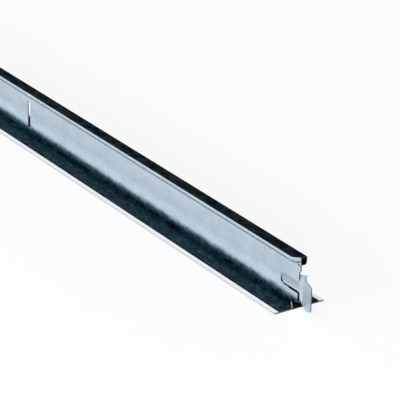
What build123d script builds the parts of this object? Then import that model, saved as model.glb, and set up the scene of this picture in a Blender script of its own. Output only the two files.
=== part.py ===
from build123d import *
import os
from math import hypot

# Ceiling main tee, wide face, for an exposed suspended ceiling grid.
# Millimetres. +X runs along the tee, +Z is up, and the white face lies on Z = 0.
# The origin is at the middle of the face.

# Length and pitch of the cross tee slots
flange_length = 3750.0
slot_pitch = 625.0
slot_count = int(flange_length // slot_pitch)
slot_width = 3.6
slot_bottom = 4.0
slot_below_bulb = 3.4
slot_corner = 0.8

# Section
face_width = 35.0
tee_height = 32.0
steel_gauge = 0.4
cap_gauge = 0.3
hem_width = 3.1
hem_radius = 0.45
foot_radius = 1.6
bulb_width = 8.0
bulb_height = 5.4
bulb_side = 2.4
bulb_corner = 0.6
layer_gap = 0.15

# Pressed end of the bulb, with two creases in its near wall
end_overhang = 0.4
crush_length = 0.8
crush_taper = 3.6
crush_offset = 0.4
crush_corner = 1.0
upper_crease_reach = 2.3
upper_crease_stop = 0.6
upper_crease_start_rise = 1.9
upper_crease_stop_rise = 2.3
upper_crease_height = 0.8
lower_crease_reach = 3.2
lower_crease_stop = 0.4
lower_crease_start_rise = 0.3
lower_crease_stop_rise = 0.0
lower_crease_height = 1.2

# Relief punched in the flange and the foot of the web at each end
relief_length = 6.6
relief_half_width = 4.9
relief_tip_half_width = 0.5
relief_height = 3.1
relief_lip = 0.7

# Hook coupler, sheared from the web and set over by one web thickness.
# Drops are measured down from the hook's top.
tongue_clearance = 0.1
tongue_heel = 17.2
tongue_heel_lean = 1.2
tongue_heel_drop = 10.8
tongue_heel_radius = 2.1
tongue_bottom_drop = 12.7
tongue_toe = 0.8
tongue_toe_radius = 1.4
shear_gap = 0.9
joggle_drop = 6.2
joggle_run = 5.0
blend_rise = 2.5
blend_length = 2.3
step_wall = 0.5
notch_below_bulb = 3.5
notch_radius = 0.5
hook_below_bulb = 4.4
hook_root = 0.6
hook_root_drop = 2.0
hook_nub_reach = 5.3
hook_nub_depth = 0.5
hook_nub_back = 4.2
hook_nub_drop = 1.2
hook_neck_reach = 3.9
hook_neck_drop = 2.9
hook_knee_reach = 5.2
hook_knee_drop = 4.3
hook_shoulder_reach = 7.0
hook_shoulder_drop = 4.8
hook_base = 1.5
tab_reach = 9.9
tab_drop = 6.3
tab_bottom = 0.3
tab_back = 4.1
tab_back_top = 2.5
tab_corner = 1.8
fold_top = 7.0
fold_clear = 0.2
fold_width = 0.35
fold_depth = 0.12

# Worked out from the sizes above
flange_bottom = cap_gauge
flange_top = flange_bottom + steel_gauge
flange_half = face_width / 2 - cap_gauge
half_length = flange_length / 2
web_end = half_length + end_overhang
bulb_base = tee_height - bulb_height
bulb_half = bulb_width / 2
web_half = steel_gauge
tongue_offset = 2 * web_half + tongue_clearance
slot_top = bulb_base - slot_below_bulb
notch_top = bulb_base - notch_below_bulb
hook_top = bulb_base - hook_below_bulb
hook_root_level = hook_top - hook_root_drop
tab_top = hook_top - tab_drop
joggle_top = hook_top - joggle_drop
joggle_bottom = joggle_top - joggle_run
heel_level = hook_top - tongue_heel_drop
tongue_bottom = hook_top - tongue_bottom_drop
hook_near = tongue_offset - web_half
hook_far = tongue_offset + web_half


def section_face(points):
    """A flat face in the cross section, from (y, z) points."""
    return make_face(Polyline(*points, close=True))


def along_tee(face, start, end):
    """Extrude a cross section face from one X to another."""
    return extrude(Plane.YZ.offset(start) * face, end - start)


def in_web_plane(points, y_low, y_high):
    """A plate parallel to the web, from (x, z) points."""
    outline = make_face(Polyline(*points, close=True))
    placed = Plane((0, y_high, 0), x_dir=(1, 0, 0), z_dir=(0, -1, 0)) * outline
    return extrude(placed, y_high - y_low)


def rounded(plate, x, z, radius):
    """Round the corner of a plate that stands at this X and Z."""
    upright = plate.edges().filter_by(Axis.Y)
    corner = [e for e in upright if hypot(e.center().X - x, e.center().Z - z) < 0.01]
    return fillet(corner, radius)


def turned(solid):
    """The same shape at the other end, turned half round the vertical."""
    return Rot(0, 0, 180) * solid


def foot_section():
    """Two flange halves and the bends that bring them up into the double web."""
    face = section_face([
        (-flange_half, flange_bottom),
        (flange_half, flange_bottom),
        (flange_half, flange_top),
        (web_half, flange_top),
        (web_half, bulb_base),
        (-web_half, bulb_base),
        (-web_half, flange_top),
        (-flange_half, flange_top),
    ])
    corners = [v for v in face.vertices() if abs(abs(v.X) - web_half) < 1e-6]
    corners = [v for v in corners if abs(v.Y - flange_top) < 1e-6]
    return fillet(corners, foot_radius)


def foot_hollow():
    """The channel under the two bends, closed below by the cap."""
    bend_outside = foot_radius + steel_gauge
    rise = (bend_outside ** 2 - (bend_outside - layer_gap) ** 2) ** 0.5
    centre_z = flange_bottom + bend_outside
    hollow = Pos(0, flange_bottom + (bend_outside - rise) / 2) * Rectangle(
        2 * bend_outside, bend_outside - rise
    )
    for side in (-1, 1):
        hollow -= Pos(side * bend_outside, centre_z) * Circle(bend_outside)
    return hollow


def bulb_outside(pressed):
    """Outline of the bulb, as rolled or as pressed flat on its near side."""
    near = crush_offset if pressed else bulb_half
    side_bottom = tee_height - bulb_side
    knee = ((web_half + bulb_half) / 2, (bulb_base + side_bottom) / 2)
    far_bottom = side_bottom
    if pressed:
        knee = (bulb_half - crush_corner, bulb_base)
        far_bottom = bulb_base + crush_corner
    face = section_face([
        (-near, tee_height),
        (-near, side_bottom),
        (-web_half, bulb_base),
        (web_half, bulb_base),
        knee,
        (bulb_half, far_bottom),
        (bulb_half, tee_height),
    ])
    corners = [v for v in face.vertices() if abs(v.Y - tee_height) < 1e-6]
    return fillet(corners, bulb_corner)


def shoulder_inside(y):
    """Height of the inside of a rolled bulb shoulder at this distance from the middle."""
    slope = (bulb_height - bulb_side) / (bulb_half - web_half)
    lift = steel_gauge * hypot(1, slope)
    return tee_height - bulb_side - slope * (bulb_half - y) + lift


def bulb_inside(pressed):
    """Outline of the hollow in the bulb, one wall in from the outside."""
    top = tee_height - steel_gauge
    far = bulb_half - steel_gauge
    side_z = shoulder_inside(far)
    tip_z = shoulder_inside(layer_gap)
    near, near_tip = far, layer_gap
    knee = ((far + layer_gap) / 2, (side_z + tip_z) / 2)
    far_bottom = side_z
    if pressed:
        near = crush_offset - steel_gauge
        near_tip = near
        tip_z = bulb_base + steel_gauge
        corner_shift = steel_gauge * (hypot(1, 1) - 1)
        knee = (bulb_half - crush_corner - corner_shift, tip_z)
        far_bottom = bulb_base + crush_corner + corner_shift
    return section_face([
        (-near, top),
        (-near, side_z),
        (-near_tip, tip_z),
        (layer_gap, tip_z),
        knee,
        (far, far_bottom),
        (far, top),
    ])


def bulb():
    """The hollow bulb, with one side pressed flat at each end."""
    crush_start = web_end - crush_length
    taper_start = crush_start - crush_taper
    full_out, full_in = bulb_outside(False), bulb_inside(False)
    flat_out, flat_in = bulb_outside(True), bulb_inside(True)
    tube = along_tee(full_out, -taper_start, taper_start)
    tube -= along_tee(full_in, -taper_start, taper_start)
    planes = (Plane.YZ.offset(taper_start), Plane.YZ.offset(crush_start))
    taper = loft([planes[0] * full_out, planes[1] * flat_out], ruled=True)
    taper -= loft([planes[0] * full_in, planes[1] * flat_in], ruled=True)
    end = along_tee(flat_out, crush_start, web_end)
    end -= along_tee(flat_in, crush_start, web_end)
    pressed = taper + end
    return tube + pressed + turned(pressed)


def crease(reach, stop, start_rise, stop_rise, height):
    """A pointed fold in the pressed wall, open towards the near side."""
    start = web_end - reach
    finish = web_end - stop
    start_level = bulb_base + start_rise
    stop_level = bulb_base + stop_rise
    knee = start + (finish - start) / 3
    knee_level = start_level + (stop_level - start_level) / 3
    points = [
        (start, start_level),
        (knee, knee_level - height / 2),
        (finish, stop_level - height / 2),
        (finish, stop_level + height / 2),
        (knee, knee_level + height / 2),
    ]
    return in_web_plane(points, -bulb_half, 0)


def creases():
    """Both folds, and the gap between the web's layers behind the lower one."""
    upper = crease(
        upper_crease_reach, upper_crease_stop,
        upper_crease_start_rise, upper_crease_stop_rise, upper_crease_height,
    )
    lower = crease(
        lower_crease_reach, lower_crease_stop,
        lower_crease_start_rise, lower_crease_stop_rise, lower_crease_height,
    )
    gap_bottom = bulb_base + lower_crease_stop_rise - lower_crease_height
    gap = Pos(web_end, 0, gap_bottom) * Box(
        2 * lower_crease_reach,
        2 * layer_gap,
        bulb_base + 2 * steel_gauge - gap_bottom,
        align=(Align.CENTER, Align.CENTER, Align.MIN),
    )
    return upper + lower + gap


def web_slot(x):
    """Upright slot for the ends of two cross tees."""
    outline = RectangleRounded(slot_width, slot_top - slot_bottom, slot_corner)
    centre = Plane((x, web_half * 2, (slot_top + slot_bottom) / 2), x_dir=(1, 0, 0), z_dir=(0, -1, 0))
    return extrude(centre * outline, 4 * web_half)


def relief_plan(grown):
    """The relief seen from above, at the +X end, grown outwards by this much."""
    x = half_length
    root = relief_half_width + grown
    tip = relief_tip_half_width + grown
    back = x - relief_length - grown
    return make_face(Polyline(
        (back, -tip), (x, -root), (x + relief_length, -root),
        (x + relief_length, root), (x, root), (back, tip), close=True,
    ))


def flange_relief():
    """What is punched away beside the web so that the next tee's hook can pass."""
    return Pos(0, 0, flange_bottom) * extrude(relief_plan(0), relief_height)


def relief_edge():
    """The edge of the relief, turned up by the punch."""
    rim = relief_plan(steel_gauge) - relief_plan(0)
    lip = Pos(0, 0, flange_bottom) * extrude(rim, steel_gauge + relief_lip)
    return lip & Pos(half_length, 0, 0) * Box(
        2 * (relief_length + relief_half_width), face_width, tee_height,
        align=(Align.MAX, Align.CENTER, Align.MIN),
    )


def end_trim():
    """What is trimmed off beyond the flange, below the hook's top."""
    reach = tab_reach + end_overhang
    return Pos(half_length, 0, 0) * Box(
        reach, face_width, hook_top, align=(Align.MIN, Align.CENTER, Align.MIN)
    )


def web_window():
    """The part of the flat web that the sheared and set-over hook leaves."""
    x = half_length
    heel = x - tongue_heel - shear_gap
    toe = x - tongue_toe - shear_gap
    floor = tongue_bottom - shear_gap
    beyond = web_end + tab_reach
    points = [
        (x - tongue_heel, joggle_top),
        (x - tongue_heel - tongue_heel_lean, heel_level),
        (heel, floor),
        (toe, floor),
        (toe, 0),
        (beyond, 0),
        (beyond, notch_top),
        (x - hook_root, notch_top),
        (x - hook_root, hook_root_level),
        (x - tongue_toe, joggle_top),
    ]
    window = in_web_plane(points, -2 * web_half, 2 * web_half)
    window = rounded(window, x - hook_root, notch_top, notch_radius)
    return rounded(window, heel, floor, tongue_heel_radius + shear_gap)


def steps():
    """The upright steps from the web back to the tongue's heel and to the hook."""
    x = half_length
    heel = [
        (x - tongue_heel, joggle_top),
        (x - tongue_heel - tongue_heel_lean, heel_level),
        (x - tongue_heel - tongue_heel_lean - step_wall, heel_level),
        (x - tongue_heel - step_wall, joggle_top),
    ]
    root = [
        (x - hook_root, hook_root_level),
        (x - tongue_toe, joggle_top),
        (x - tongue_toe - step_wall, joggle_top),
        (x - hook_root - step_wall, hook_root_level),
    ]
    return in_web_plane(heel, -web_half, hook_far) + in_web_plane(root, -web_half, hook_far)


def bent_sheet():
    """The sheet that the hook is cut from: joggled back, then upright behind the web."""
    toe = half_length - tongue_toe
    joggled = along_tee(section_face([
        (-web_half, joggle_top),
        (web_half, joggle_top),
        (hook_far, joggle_bottom),
        (hook_far, 0),
        (hook_near, 0),
        (hook_near, joggle_bottom),
    ]), toe - tongue_heel - tongue_heel_lean, toe)
    upright = section_face([
        (hook_near, 0), (hook_far, 0), (hook_far, hook_top), (hook_near, hook_top),
    ])
    blend_top = joggle_top + blend_rise
    start = section_face([
        (hook_near, blend_top), (-web_half, joggle_top), (hook_near, joggle_bottom),
        (hook_far, joggle_bottom), (web_half, joggle_top), (hook_far, blend_top),
    ])
    finish = section_face([
        (hook_near, blend_top), (hook_near, joggle_top), (hook_near, joggle_bottom),
        (hook_far, joggle_bottom), (hook_far, joggle_top), (hook_far, blend_top),
    ])
    faces = [Plane.YZ.offset(toe) * start, Plane.YZ.offset(toe + blend_length) * finish]
    straight = along_tee(upright, toe, half_length + tab_reach)
    straight -= along_tee(finish, toe, toe + blend_length)
    return joggled + straight + loft(faces, ruled=True)


def hook():
    """The tongue, the hook and its tab, cut from the bent sheet at the +X end."""
    x = half_length
    points = [
        (x - tongue_heel, joggle_top),
        (x - tongue_heel - tongue_heel_lean, heel_level),
        (x - tongue_heel, tongue_bottom),
        (x - tongue_toe, tongue_bottom),
        (x - tongue_toe, hook_base),
        (x + tab_back, tab_back_top),
        (x + tab_back, tab_bottom),
        (x + tab_reach, tab_bottom),
        (x + tab_reach, tab_top),
        (x + hook_shoulder_reach, hook_top - hook_shoulder_drop),
        (x + hook_knee_reach, hook_top - hook_knee_drop),
        (x + hook_neck_reach, hook_top - hook_neck_drop),
        (x + hook_nub_back, hook_top - hook_nub_drop),
        (x + hook_nub_reach, hook_top - hook_nub_depth),
        (x + hook_nub_reach, hook_top),
        (x - hook_root, hook_root_level),
        (x - tongue_toe, joggle_top),
    ]
    plate = in_web_plane(points, -web_half, hook_far)
    plate = rounded(plate, x - tongue_heel, tongue_bottom, tongue_heel_radius)
    plate = rounded(plate, x - tongue_toe, tongue_bottom, tongue_toe_radius)
    for reach in (tab_back, tab_reach):
        plate = rounded(plate, x + reach, tab_bottom, tab_corner)
    # The shallow fold line that carries on upwards from the tab's back edge
    fold_back = x + tab_back + fold_clear
    fold_bottom = tab_back_top + fold_clear
    fold = [
        (fold_back, fold_bottom),
        (fold_back, fold_top),
        (fold_back + fold_width, fold_top),
        (fold_back + fold_width, fold_bottom),
    ]
    groove = in_web_plane(fold, hook_near - fold_depth, hook_near + fold_depth)
    return (plate & bent_sheet()) - groove


def steel_body():
    """The roll-formed strip: flange, double web, bulb and a hook at each end."""
    foot = foot_section() - foot_hollow()
    body = along_tee(foot, -web_end, web_end)
    body += bulb()
    first_slot = -slot_pitch * (slot_count - 1) / 2
    for index in range(slot_count):
        body -= web_slot(first_slot + index * slot_pitch)
    lip = relief_edge()
    body += lip + turned(lip)
    for tool in (end_trim(), flange_relief(), web_window(), creases()):
        body -= tool
        body -= turned(tool)
    coupler = hook() + steps()
    return body + coupler + turned(coupler)


def face_cap():
    """The painted strip under the flange, hemmed over both of its edges."""
    half = face_width / 2
    hem_top = flange_top + cap_gauge
    outline = section_face([
        (-half, 0),
        (half, 0),
        (half, hem_top),
        (half - hem_width, hem_top),
        (half - hem_width, flange_top),
        (flange_half, flange_top),
        (flange_half, flange_bottom),
        (-flange_half, flange_bottom),
        (-flange_half, flange_top),
        (-half + hem_width, flange_top),
        (-half + hem_width, hem_top),
        (-half, hem_top),
    ])
    folds = [v for v in outline.vertices() if abs(abs(v.X) - half) < 1e-6]
    return along_tee(fillet(folds, hem_radius), -half_length, half_length)


os.makedirs("parts", exist_ok=True)
export_step(steel_body(), "parts/steel_body.step")
export_step(face_cap(), "parts/face_cap.step")
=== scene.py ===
import math

import bpy
from mathutils import Matrix, Vector


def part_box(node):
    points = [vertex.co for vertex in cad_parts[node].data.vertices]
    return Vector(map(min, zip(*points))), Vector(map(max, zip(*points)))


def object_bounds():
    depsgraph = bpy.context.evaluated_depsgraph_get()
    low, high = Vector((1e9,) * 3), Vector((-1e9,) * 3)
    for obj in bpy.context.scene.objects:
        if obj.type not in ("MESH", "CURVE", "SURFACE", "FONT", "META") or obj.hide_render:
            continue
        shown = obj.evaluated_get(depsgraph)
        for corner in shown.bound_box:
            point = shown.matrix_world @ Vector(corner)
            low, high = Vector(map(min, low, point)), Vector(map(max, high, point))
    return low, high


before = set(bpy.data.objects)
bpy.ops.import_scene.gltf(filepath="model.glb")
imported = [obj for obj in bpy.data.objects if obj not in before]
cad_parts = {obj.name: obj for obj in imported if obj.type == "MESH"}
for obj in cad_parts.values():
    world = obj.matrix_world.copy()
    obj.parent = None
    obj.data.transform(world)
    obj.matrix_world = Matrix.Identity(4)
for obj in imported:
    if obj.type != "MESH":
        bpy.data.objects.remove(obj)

# Ceiling main tee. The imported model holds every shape. This script gives the
# steel and the paint their finish, and sets the floor, the light and the camera.
# Metres. +X runs along the tee, +Z is up.

cad_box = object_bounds()
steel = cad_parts["steel_body"]
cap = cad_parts["face_cap"]
cap_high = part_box("face_cap")[1]
END_X = cap_high.x
NEAR_END = Vector((END_X, 0, 0))

# Camera: where it stands from the near end of the flange, and how it looks
CAMERA_OFFSET = Vector((0.9307, -0.6964, 0.5690))
CAMERA_YAW = 33.94
CAMERA_PITCH = 23.43
CAMERA_ROLL = -1.28
CAMERA_CLIP_END = 100
FOCAL_PIXELS = 2256
IMAGE_WIDTH = 400
SENSOR_WIDTH = 36

# Lamps: where each hangs, its length and width, and its power in watts
LAMPS = {
    "overhead": ((0, -0.3, 1.8), (11.0, 0.8), 95),
    "front": ((0, -1.8, 0.5), (11.0, 0.9), 125),
    "back": ((0, 1.8, 0.5), (11.0, 0.9), 63),
}

# Floor: its half width, and how bright the camera sees it. The cover is the share
# of that brightness laid over its shadow, near the tee and far from it, and it
# changes between these distances from the tee's middle.
FLOOR_HALF = 30.0
FLOOR_GLOW = 0.96
SHADOW_COVER = (0.8, 1.0)
SHADOW_FADE_ALONG = (2.2, 3.4)
SHADOW_FADE_ACROSS = (0.25, 0.90)

# Colours, linear
BLACK = (0.0, 0.0, 0.0)
WHITE = (1.0, 1.0, 1.0)
ZINC = (0.71, 0.83, 0.94)
ZINC_DULL = (0.56, 0.68, 0.79)
# Painted shade on the bulb's underside
SHOULDER_SHADE = (0.120, 0.160, 0.205)
# Painted shade on the flange, the web's foot and the bulb's top, with its blots and grain
SHADE = (0.000, 0.003, 0.009)
SHADE_PALE = (0.007, 0.032, 0.049)
SHADE_GRAIN = (0.038, 0.098, 0.115)
FOOT_SHADE = (0.006, 0.032, 0.050)
FOOT_SHADE_PALE = (0.060, 0.135, 0.175)
BULB_SHADE = (0.001, 0.002, 0.004)
BULB_SHADE_PALE = (0.024, 0.032, 0.040)
# Colours of the bare cut edges; the darkest is also painted shade at the web's end
EDGE_DARK = (0.045, 0.052, 0.060)
EDGE_GREY = (0.150, 0.150, 0.170)
# Painted shadow in the slit
SLIT_SHADOW = (0.003, 0.010, 0.018)
FLANGE_END = (0.190, 0.190, 0.205)
SLOT_EDGE = (0.200, 0.225, 0.260)
RIM_PALE = (0.34, 0.37, 0.41)
# Painted shade inside the bulb and the relief
HOLLOW_SHADE = (0.004, 0.005, 0.006)
PAINT = (0.80, 0.82, 0.84)
PAINT_DULL = (0.764, 0.7831, 0.8022)
# Painted shade on the cap's outer bends
BEND_SHADE = (0.26, 0.26, 0.28)
INSIDE_DARK = (0.010, 0.009, 0.009)
SURROUNDINGS = (0.016, 0.042, 0.052)
FLOOR_WHITE = (0.94, 0.94, 0.94)

# How far, of 1, painted shade darkens the web's upper part and the cap's bends, and how far the hook
# is darkened
WEB_SHADING = 0.33
HOOK_DULLING = 0.40
BEND_SHADING = 0.75

# Surface of the steel, as a pair where it differs bare and under the painted shade, and
# of the paint, whose roughness spreads between two values
STEEL_METALLIC = 0.40
STEEL_ROUGHNESS = (0.40, 0.50)
STEEL_GLOSS = (0.5, 0.1)
STEEL_BUMP = {"Strength": 0.10, "Distance": 0.0002}
PAINT_ROUGHNESS = (0.42, 0.52)
PAINT_BUMP = {"Strength": 0.08, "Distance": 0.0001}

# Noises: scale per metre along the tee, across it and upwards, detail, roughness
CLOUDS = ((60, 150, 150), 4.0, 0.55)
SPECKS = ((700, 700, 700), 3.0, 0.60)
ROLL_LINES = ((25, 2500, 2500), 2.0, 0.55)
BLOTS = ((190, 300, 300), 5.0, 0.65)
GRAIN = ((300, 620, 620), 3.0, 0.60)
FOOT_STREAKS = ((900, 900, 160), 3.0, 0.50)
SHADE_WAVES = ((90, 150, 150), 4.0, 0.55)
SHADE_STREAKS = ((650, 400, 140), 3.0, 0.50)
PAINT_CLOUDS = ((40, 120, 120), 3.0, 0.55)
PAINT_PEEL = ((1500, 1500, 1500), 2.0, 0.55)

# Values of a noise between which it goes from no effect to its full effect
NOISE_SPREAD = (0.3, 0.7)
ZINC_SPREAD = (0.76, 1.24)
BLOT_SPREAD = (0.38, 0.64)
GRAIN_SPREAD = (0.50, 0.72)
FOOT_STREAK_SPREAD = (0.36, 0.66)

# Ragged edge of the painted shade: the height of its waves and the depth of its streaks
SHADE_WAVE = 0.0007
SHADE_STREAK = 0.8

# The narrowest step between two finishes
HAIR = 0.0001

# Heights above the face at which one colour gives way to the next, painted shade among them
CAP_INSIDE = 0.0004
FLANGE_LEVEL = 0.0011
RELIEF_TOP = 0.0038
SLIT_TOP = 0.0165
WEB_TOP = 0.0267
FOOT_COLOUR = (0.0015, 0.0036)
SHADE_FADE = (0.0036, 0.0078)
WEB_SHADING_RISE = (0.007, 0.016)
SHOULDER_FOOT = (0.0257, 0.0263)
SHOULDER_HEAD = (0.0290, 0.0306)
RIM = (0.0275, 0.0312)
BULB_TOP = (0.0313, 0.0317)

# Distances from the web between which the painted shade turns grainy, and darkens by the hem
OPEN_FLANGE = (0.0015, 0.0065)
BESIDE_HEM = (0.0122, 0.0140)

# Places along the tee, from its middle, between which a colour changes by an end, painted shade among
# them
SHADE_STOP = (END_X - 0.002, END_X)
PRESSED_END = (END_X - 0.008, END_X - 0.004)
HOOK_FACE = (END_X + 0.001, END_X + 0.003)
HOOK_REGION = END_X - 0.030
SLIT_REGION = (END_X - 0.011, END_X)
END_EDGE = 0.0003

# How much of the shoulder's painted shade is left at a pressed end
PRESSED_SHARE = 0.25

# The hook lies further than this to one side of the web's middle
HOOK_SIDE = 0.00045

# Middle of the painted shadow on the hook's foot, along the tee and up, and how far it reaches
HOOK_SHADOW_MIDDLE = (END_X - 0.0008, 0.0010)
HOOK_SHADOW_FADE = (0.0022, 0.0050)

# Middle of the bulb's hollow at a pressed end, and how much its faces turn to it
HOLLOW_Y = 0.0018
HOLLOW_Z = 0.0293
HOLLOW_TURN = 0.0003

# How squarely a surface has to face a way, from no effect to full effect
FACES_UP = (0.6, 0.9)
FACES_LEVEL = (0.90, 0.97)
FACES_UP_IN_CAP = (0.3, 0.7)
FACES_ALONG = (0.70, 0.80)
FACES_ACROSS = (0.5, 0.7)
FACES_INWARD = -0.3
FACES_OUTWARD = (0.02, 0.60)


def rgba(colour):
    """A plain colour with its alpha. A socket stays as it is."""
    return (*colour, 1) if isinstance(colour, tuple) else colour


class Nodes:
    """Short calls for building one node tree."""

    def __init__(self, tree):
        self.tree = tree
        tree.nodes.clear()

    def add(self, kind, inputs=None, **settings):
        """A node with its settings set, and its inputs linked or filled in."""
        node = self.tree.nodes.new(kind)
        for key, value in settings.items():
            setattr(node, key, value)
        for key, value in (inputs or {}).items():
            if isinstance(value, bpy.types.NodeSocket):
                self.tree.links.new(value, node.inputs[key])
            else:
                node.inputs[key].default_value = value
        return node

    def noise(self, scale, detail, roughness):
        """Noise on the object position, which is scaled apart along each axis."""
        place = self.add("ShaderNodeTexCoord").outputs["Object"]
        mapping = self.add("ShaderNodeMapping", {"Vector": place, "Scale": scale})
        inputs = {
            "Vector": mapping.outputs["Vector"],
            "Scale": 1.0,
            "Detail": detail,
            "Roughness": roughness,
        }
        return self.add("ShaderNodeTexNoise", inputs).outputs["Fac"]

    def math(self, operation, a, b=0.0):
        return self.add("ShaderNodeMath", {0: a, 1: b}, operation=operation).outputs[0]

    def plus(self, a, b):
        return self.math("ADD", a, b)

    def minus(self, a, b):
        return self.math("SUBTRACT", a, b)

    def times(self, a, b):
        """A product, or for two masks, where both hold."""
        return self.math("MULTIPLY", a, b)

    def larger(self, a, b):
        """The larger of two values, or for two masks, where either holds."""
        return self.math("MAXIMUM", a, b)

    def size(self, a):
        """The value without its sign."""
        return self.math("ABSOLUTE", a)

    def over(self, a, b):
        return self.math("GREATER_THAN", a, b)

    def under(self, a, b):
        return self.math("LESS_THAN", a, b)

    def within(self, value, low, high):
        return self.times(self.over(value, low), self.under(value, high))

    def ramp(self, value, low, high):
        """Smooth step from 0 at low to 1 at high."""
        inputs = {"Value": value, "From Min": low, "From Max": high, "To Min": 0.0, "To Max": 1.0}
        node = self.add("ShaderNodeMapRange", inputs, interpolation_type="SMOOTHSTEP")
        return node.outputs["Result"]

    def fall(self, value, low, high):
        """Smooth step from 1 at low to 0 at high."""
        return self.minus(1.0, self.ramp(value, low, high))

    def remap(self, value, start, end):
        """Straight line from the pair start, low and high, to the pair end."""
        inputs = {
            "Value": value,
            "From Min": start[0],
            "From Max": start[1],
            "To Min": end[0],
            "To Max": end[1],
        }
        return self.add("ShaderNodeMapRange", inputs).outputs["Result"]

    def mix(self, factor, a, b):
        inputs = {"Factor": factor, 6: rgba(a), 7: rgba(b)}
        return self.add("ShaderNodeMix", inputs, data_type="RGBA").outputs[2]

    def bump(self, height, amounts):
        return self.add("ShaderNodeBump", {"Height": height, **amounts}).outputs["Normal"]


def new_material(name):
    material = bpy.data.materials.new(name)
    material.use_nodes = True
    return material, Nodes(material.node_tree)


class Place:
    """Where a point of the tee lies and which way it faces, in the tee's own axes."""

    def __init__(self, nodes):
        coordinates = nodes.add("ShaderNodeTexCoord")
        place = nodes.add("ShaderNodeSeparateXYZ", {0: coordinates.outputs["Object"]})
        facing = nodes.add("ShaderNodeSeparateXYZ", {0: coordinates.outputs["Normal"]})
        x, self.y, self.z = place.outputs
        self.facing_x, self.facing_y, self.facing_z = facing.outputs
        # The two ends are alike when one is turned half round
        self.side = nodes.math("SIGN", x)
        self.along = nodes.size(x)
        self.hook_side = nodes.times(self.y, self.side)
        self.facing_outward = nodes.times(self.facing_y, nodes.math("SIGN", self.y))


def painted_shade_mask(nodes, at):
    """Painted shade on the flange's upper faces and, with a ragged edge, on the foot of the web."""
    low = nodes.fall(at.z, FLANGE_LEVEL, FLANGE_LEVEL + HAIR)
    flat = nodes.times(nodes.ramp(at.facing_z, *FACES_UP), low)
    shift = nodes.remap(nodes.noise(*SHADE_WAVES), NOISE_SPREAD, (-SHADE_WAVE, SHADE_WAVE))
    foot = nodes.fall(nodes.plus(at.z, shift), *SHADE_FADE)
    # Upright streaks, strongest where the painted shade is half gone
    half_gone = nodes.times(foot, nodes.minus(1.0, foot))
    streaks = nodes.remap(nodes.noise(*SHADE_STREAKS), NOISE_SPREAD, (-SHADE_STREAK, SHADE_STREAK))
    foot = nodes.plus(foot, nodes.times(streaks, half_gone))
    level = nodes.ramp(at.facing_z, *FACES_LEVEL)
    foot = nodes.times(foot, nodes.minus(1.0, level))
    return nodes.larger(flat, nodes.times(foot, nodes.fall(at.along, *SHADE_STOP)))


def crosswise(nodes, at):
    """Faces that look along the tee: the cut edges of the strip."""
    return nodes.ramp(nodes.size(at.facing_x), *FACES_ALONG)


def bulb_top_shade_mask(nodes, at):
    """The darkest painted shade, on the top of the bulb and round its two upper bends."""
    return nodes.times(nodes.ramp(at.z, *BULB_TOP), nodes.minus(1.0, crosswise(nodes, at)))


def shoulder_shade_mask(nodes, at):
    """Painted shade on the bulb's sloping underside, darker than the web except at its pressed ends.
    """
    above_web = nodes.ramp(at.z, *SHOULDER_FOOT)
    below_wall = nodes.fall(at.z, *SHOULDER_HEAD)
    share = nodes.remap(nodes.ramp(at.along, *PRESSED_END), (0.0, 1.0), (1.0, PRESSED_SHARE))
    return nodes.times(share, nodes.times(above_web, below_wall))


def hollow_shade_mask(nodes, at):
    """Painted shade on the inner faces of the bulb, which face the middle of its hollow."""
    facing_y = nodes.times(at.facing_y, at.side)
    inward_y = nodes.times(nodes.minus(HOLLOW_Y, at.hook_side), facing_y)
    inward_z = nodes.times(nodes.minus(HOLLOW_Z, at.z), at.facing_z)
    inward = nodes.over(nodes.plus(inward_y, inward_z), HOLLOW_TURN)
    return nodes.times(inward, nodes.over(at.z, WEB_TOP))


def relief_shade_mask(nodes, at):
    """Painted shade on the inner walls of the relief in the flange."""
    inward = nodes.under(at.facing_outward, FACES_INWARD)
    inboard = nodes.under(at.along, END_X)
    return nodes.times(nodes.times(inward, inboard), nodes.under(at.z, RELIEF_TOP))


def on_hook(nodes, at):
    """The hook's side of the web, where only the hook and its tongue reach."""
    return nodes.over(at.hook_side, HOOK_SIDE)


def hook_foot_shadow_mask(nodes, at):
    """Painted shadow on the foot of the hook, beside the relief."""
    across = nodes.minus(at.along, HOOK_SHADOW_MIDDLE[0])
    up = nodes.minus(at.z, HOOK_SHADOW_MIDDLE[1])
    squares = nodes.plus(nodes.math("POWER", across, 2.0), nodes.math("POWER", up, 2.0))
    near = nodes.fall(nodes.math("SQRT", squares), *HOOK_SHADOW_FADE)
    beyond = nodes.over(at.along, HOOK_SHADOW_MIDDLE[0] - HAIR)
    return nodes.times(near, nodes.times(on_hook(nodes, at), beyond))


def slit_shadow_mask(nodes, at):
    """Painted shadow on the sheared edges of the web and the tongue, on both sides of the slit."""
    edge = nodes.fall(nodes.size(at.facing_y), *FACES_ACROSS)
    beside = nodes.within(at.along, *SLIT_REGION)
    level = nodes.within(at.z, RELIEF_TOP, SLIT_TOP)
    return nodes.times(edge, nodes.times(beside, level))


def flange_end_mask(nodes, at):
    """The cut ends of the flange, of its relief's lips and of the cap under it."""
    off_end = nodes.size(nodes.minus(at.along, END_X))
    at_end = nodes.times(nodes.under(off_end, END_EDGE), nodes.under(at.z, RELIEF_TOP))
    return nodes.times(crosswise(nodes, at), at_end)


def cut_edge_mask(nodes, at):
    """The strip's other cut edges, above the relief or past the end of the flange."""
    bare = nodes.larger(nodes.over(at.z, RELIEF_TOP), nodes.over(at.along, END_X + HAIR))
    return nodes.times(crosswise(nodes, at), bare)


def cut_edge_colour(nodes, at):
    """Bare cut steel: pale in the slots, grey on the hook, and darkened by painted shade at the web's
    end.

    The bulb's rim is pale low down and dark at its top.
    """
    # Painted shade darkens the cut edges near the hook, at the web's end
    web = nodes.mix(nodes.over(at.along, HOOK_REGION), SLOT_EDGE, EDGE_DARK)
    web_or_hook = nodes.mix(on_hook(nodes, at), web, EDGE_GREY)
    rim = nodes.mix(nodes.ramp(at.z, *RIM), RIM_PALE, EDGE_DARK)
    return nodes.mix(nodes.over(at.z, WEB_TOP), web_or_hook, rim)


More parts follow.
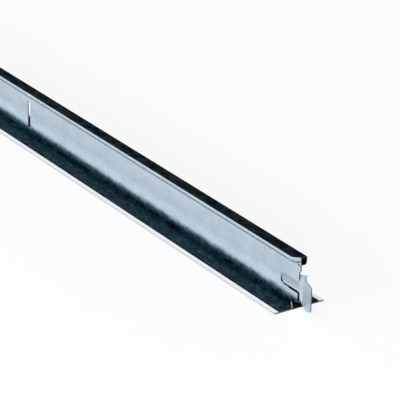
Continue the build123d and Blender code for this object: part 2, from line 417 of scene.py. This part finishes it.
def zinc_colour(nodes, at):
    """Bare zinc with faint patches and a darker hook, with painted shade up the web and under the
    bulb.
    """
    speckle = nodes.plus(nodes.noise(*CLOUDS), nodes.noise(*SPECKS))
    tone = nodes.remap(speckle, ZINC_SPREAD, (0.0, 1.0))
    zinc = nodes.mix(tone, ZINC_DULL, ZINC)
    # Painted shade over the web above its foot, so that the foot looks lighter
    web_shading = nodes.times(nodes.ramp(at.z, *WEB_SHADING_RISE), WEB_SHADING)
    hook_duller = nodes.times(nodes.ramp(at.along, *HOOK_FACE), HOOK_DULLING)
    zinc = nodes.mix(nodes.larger(web_shading, hook_duller), zinc, BLACK)
    # Painted shade on the bulb's underside
    return nodes.mix(shoulder_shade_mask(nodes, at), zinc, SHOULDER_SHADE)


def painted_shade_colour(nodes, at, blots):
    """Colour of the painted shade: blotted and grainy on the flange, streaked on the foot of the web.
    """
    outboard = nodes.size(at.y)
    grain = nodes.ramp(nodes.noise(*GRAIN), *GRAIN_SPREAD)
    grain = nodes.times(grain, nodes.ramp(outboard, *OPEN_FLANGE))
    shade = nodes.mix(blots, SHADE, SHADE_PALE)
    shade = nodes.mix(grain, shade, SHADE_GRAIN)
    shade = nodes.mix(nodes.ramp(outboard, *BESIDE_HEM), shade, SHADE)
    streaks = nodes.ramp(nodes.noise(*FOOT_STREAKS), *FOOT_STREAK_SPREAD)
    foot = nodes.mix(streaks, FOOT_SHADE, FOOT_SHADE_PALE)
    return nodes.mix(nodes.ramp(at.z, *FOOT_COLOUR), shade, foot)


def galvanised_steel():
    """Skin-passed zinc with faint roll lines, painted shade in places and bare cut edges."""
    material, nodes = new_material("galvanised_steel")
    at = Place(nodes)
    blots = nodes.ramp(nodes.noise(*BLOTS), *BLOT_SPREAD)
    # Painted shade on the faces that look up and on the foot of the web
    shade = painted_shade_mask(nodes, at)
    colour = nodes.mix(shade, zinc_colour(nodes, at), painted_shade_colour(nodes, at, blots))
    # Painted shade, the darkest, on the bulb's top
    bulb_shade = nodes.mix(blots, BULB_SHADE, BULB_SHADE_PALE)
    colour = nodes.mix(bulb_top_shade_mask(nodes, at), colour, bulb_shade)
    # Painted shadow on the foot of the hook
    colour = nodes.mix(hook_foot_shadow_mask(nodes, at), colour, BULB_SHADE)
    colour = nodes.mix(cut_edge_mask(nodes, at), colour, cut_edge_colour(nodes, at))
    colour = nodes.mix(flange_end_mask(nodes, at), colour, FLANGE_END)
    # Painted shadow in the slit
    colour = nodes.mix(slit_shadow_mask(nodes, at), colour, SLIT_SHADOW)
    # Painted shade in the bulb's hollow and inside the relief
    dark = nodes.larger(hollow_shade_mask(nodes, at), relief_shade_mask(nodes, at))
    shader = nodes.add("ShaderNodeBsdfPrincipled", {
        "Base Color": nodes.mix(dark, colour, HOLLOW_SHADE),
        "Metallic": STEEL_METALLIC,
        "Roughness": nodes.remap(shade, (0.0, 1.0), STEEL_ROUGHNESS),
        "Specular IOR Level": nodes.remap(shade, (0.0, 1.0), STEEL_GLOSS),
        "Normal": nodes.bump(nodes.noise(*ROLL_LINES), STEEL_BUMP),
    })
    nodes.add("ShaderNodeOutputMaterial", {"Surface": shader.outputs[0]})
    return material


def white_paint():
    """Matt coil coating with a slight orange peel, painted shade on its outer bends and greyer cut
    ends.

    The inside face of the cap is near black.
    """
    material, nodes = new_material("white_paint")
    at = Place(nodes)
    paint = nodes.mix(nodes.noise(*PAINT_CLOUDS), PAINT_DULL, PAINT)
    # Painted shade on the outer bends, which face outward
    bend = nodes.times(nodes.ramp(at.facing_outward, *FACES_OUTWARD), BEND_SHADING)
    paint = nodes.mix(bend, paint, BEND_SHADE)
    paint = nodes.mix(flange_end_mask(nodes, at), paint, FLANGE_END)
    deep = nodes.under(at.z, CAP_INSIDE)
    inside = nodes.times(deep, nodes.ramp(at.facing_z, *FACES_UP_IN_CAP))
    peel = nodes.noise(*PAINT_PEEL)
    shader = nodes.add("ShaderNodeBsdfPrincipled", {
        "Base Color": nodes.mix(inside, paint, INSIDE_DARK),
        "Roughness": nodes.remap(peel, NOISE_SPREAD, PAINT_ROUGHNESS),
        "Normal": nodes.bump(peel, PAINT_BUMP),
    })
    nodes.add("ShaderNodeOutputMaterial", {"Surface": shader.outputs[0]})
    return material


def floor_material():
    """White floor that the camera and the metal see as white, with a soft shadow by the tee."""
    material, nodes = new_material("floor")
    coordinates = nodes.add("ShaderNodeTexCoord").outputs["Object"]
    x, y, _ = nodes.add("ShaderNodeSeparateXYZ", {0: coordinates}).outputs
    past_end = nodes.ramp(nodes.size(x), *SHADOW_FADE_ALONG)
    aside = nodes.ramp(nodes.size(y), *SHADOW_FADE_ACROSS)
    cover = nodes.remap(nodes.larger(past_end, aside), (0.0, 1.0), SHADOW_COVER)
    path = nodes.add("ShaderNodeLightPath").outputs
    seen = nodes.larger(path["Is Camera Ray"], path["Is Glossy Ray"])
    matt = nodes.add("ShaderNodeBsdfDiffuse", {"Color": rgba(FLOOR_WHITE)})
    white = nodes.add("ShaderNodeEmission", {"Color": rgba(WHITE), "Strength": FLOOR_GLOW})
    both = nodes.add("ShaderNodeMixShader", {
        0: nodes.times(seen, cover),
        1: matt.outputs[0],
        2: white.outputs[0],
    })
    nodes.add("ShaderNodeOutputMaterial", {"Surface": both.outputs[0]})
    return material


def dress(node, material):
    """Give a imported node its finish, leaving its mesh alone."""
    slots = node.material_slots
    for index in range(len(slots)):
        slots[index].link = "OBJECT"
        slots[index].material = material


def add_floor():
    """A square floor at the height of the tee's underside."""
    half = FLOOR_HALF
    level = cad_box[0].z
    corners = [(-half, -half, level), (half, -half, level), (half, half, level), (-half, half, level)]
    mesh = bpy.data.meshes.new("floor")
    mesh.from_pydata(corners, [], [(0, 1, 2, 3)])
    mesh.materials.append(floor_material())
    floor = bpy.data.objects.new("floor", mesh)
    bpy.context.collection.objects.link(floor)


def add_world():
    world = bpy.data.worlds.new("studio")
    bpy.context.scene.world = world
    world.use_nodes = True
    nodes = Nodes(world.node_tree)
    inputs = {"Color": rgba(SURROUNDINGS), "Strength": 1.0}
    background = nodes.add("ShaderNodeBackground", inputs)
    nodes.add("ShaderNodeOutputWorld", {"Surface": background.outputs[0]})


def add_lamp(name, place, size, power):
    """Soft lamp turned to the tee's middle, with no mirror image in the metal."""
    light = bpy.data.lights.new(name, "AREA")
    light.shape = "RECTANGLE"
    light.size, light.size_y = size
    light.energy = power
    lamp = bpy.data.objects.new(name, light)
    lamp.visible_glossy = False
    lamp.location = place
    lamp.rotation_mode = "QUATERNION"
    lamp.rotation_quaternion = (-Vector(place)).to_track_quat("-Z", "Y")
    bpy.context.collection.objects.link(lamp)


def add_camera():
    """The camera of the photo, as it was fitted to the tee's edges."""
    data = bpy.data.cameras.new("camera")
    data.sensor_width = SENSOR_WIDTH
    data.lens = FOCAL_PIXELS / IMAGE_WIDTH * SENSOR_WIDTH
    data.clip_end = CAMERA_CLIP_END
    camera = bpy.data.objects.new("camera", data)
    heading = Matrix.Rotation(math.radians(90 - CAMERA_YAW), 4, "Z")
    tilt = Matrix.Rotation(math.radians(90 - CAMERA_PITCH), 4, "X")
    roll = Matrix.Rotation(math.radians(-CAMERA_ROLL), 4, "Z")
    place = Matrix.Translation(NEAR_END + CAMERA_OFFSET)
    camera.matrix_world = place @ heading @ tilt @ roll
    bpy.context.collection.objects.link(camera)
    bpy.context.scene.camera = camera


dress(steel, galvanised_steel())
dress(cap, white_paint())
add_floor()
add_world()
for name, (place, size, power) in LAMPS.items():
    add_lamp(name, place, size, power)
add_camera()

bpy.context.scene.view_settings.view_transform = "Standard"
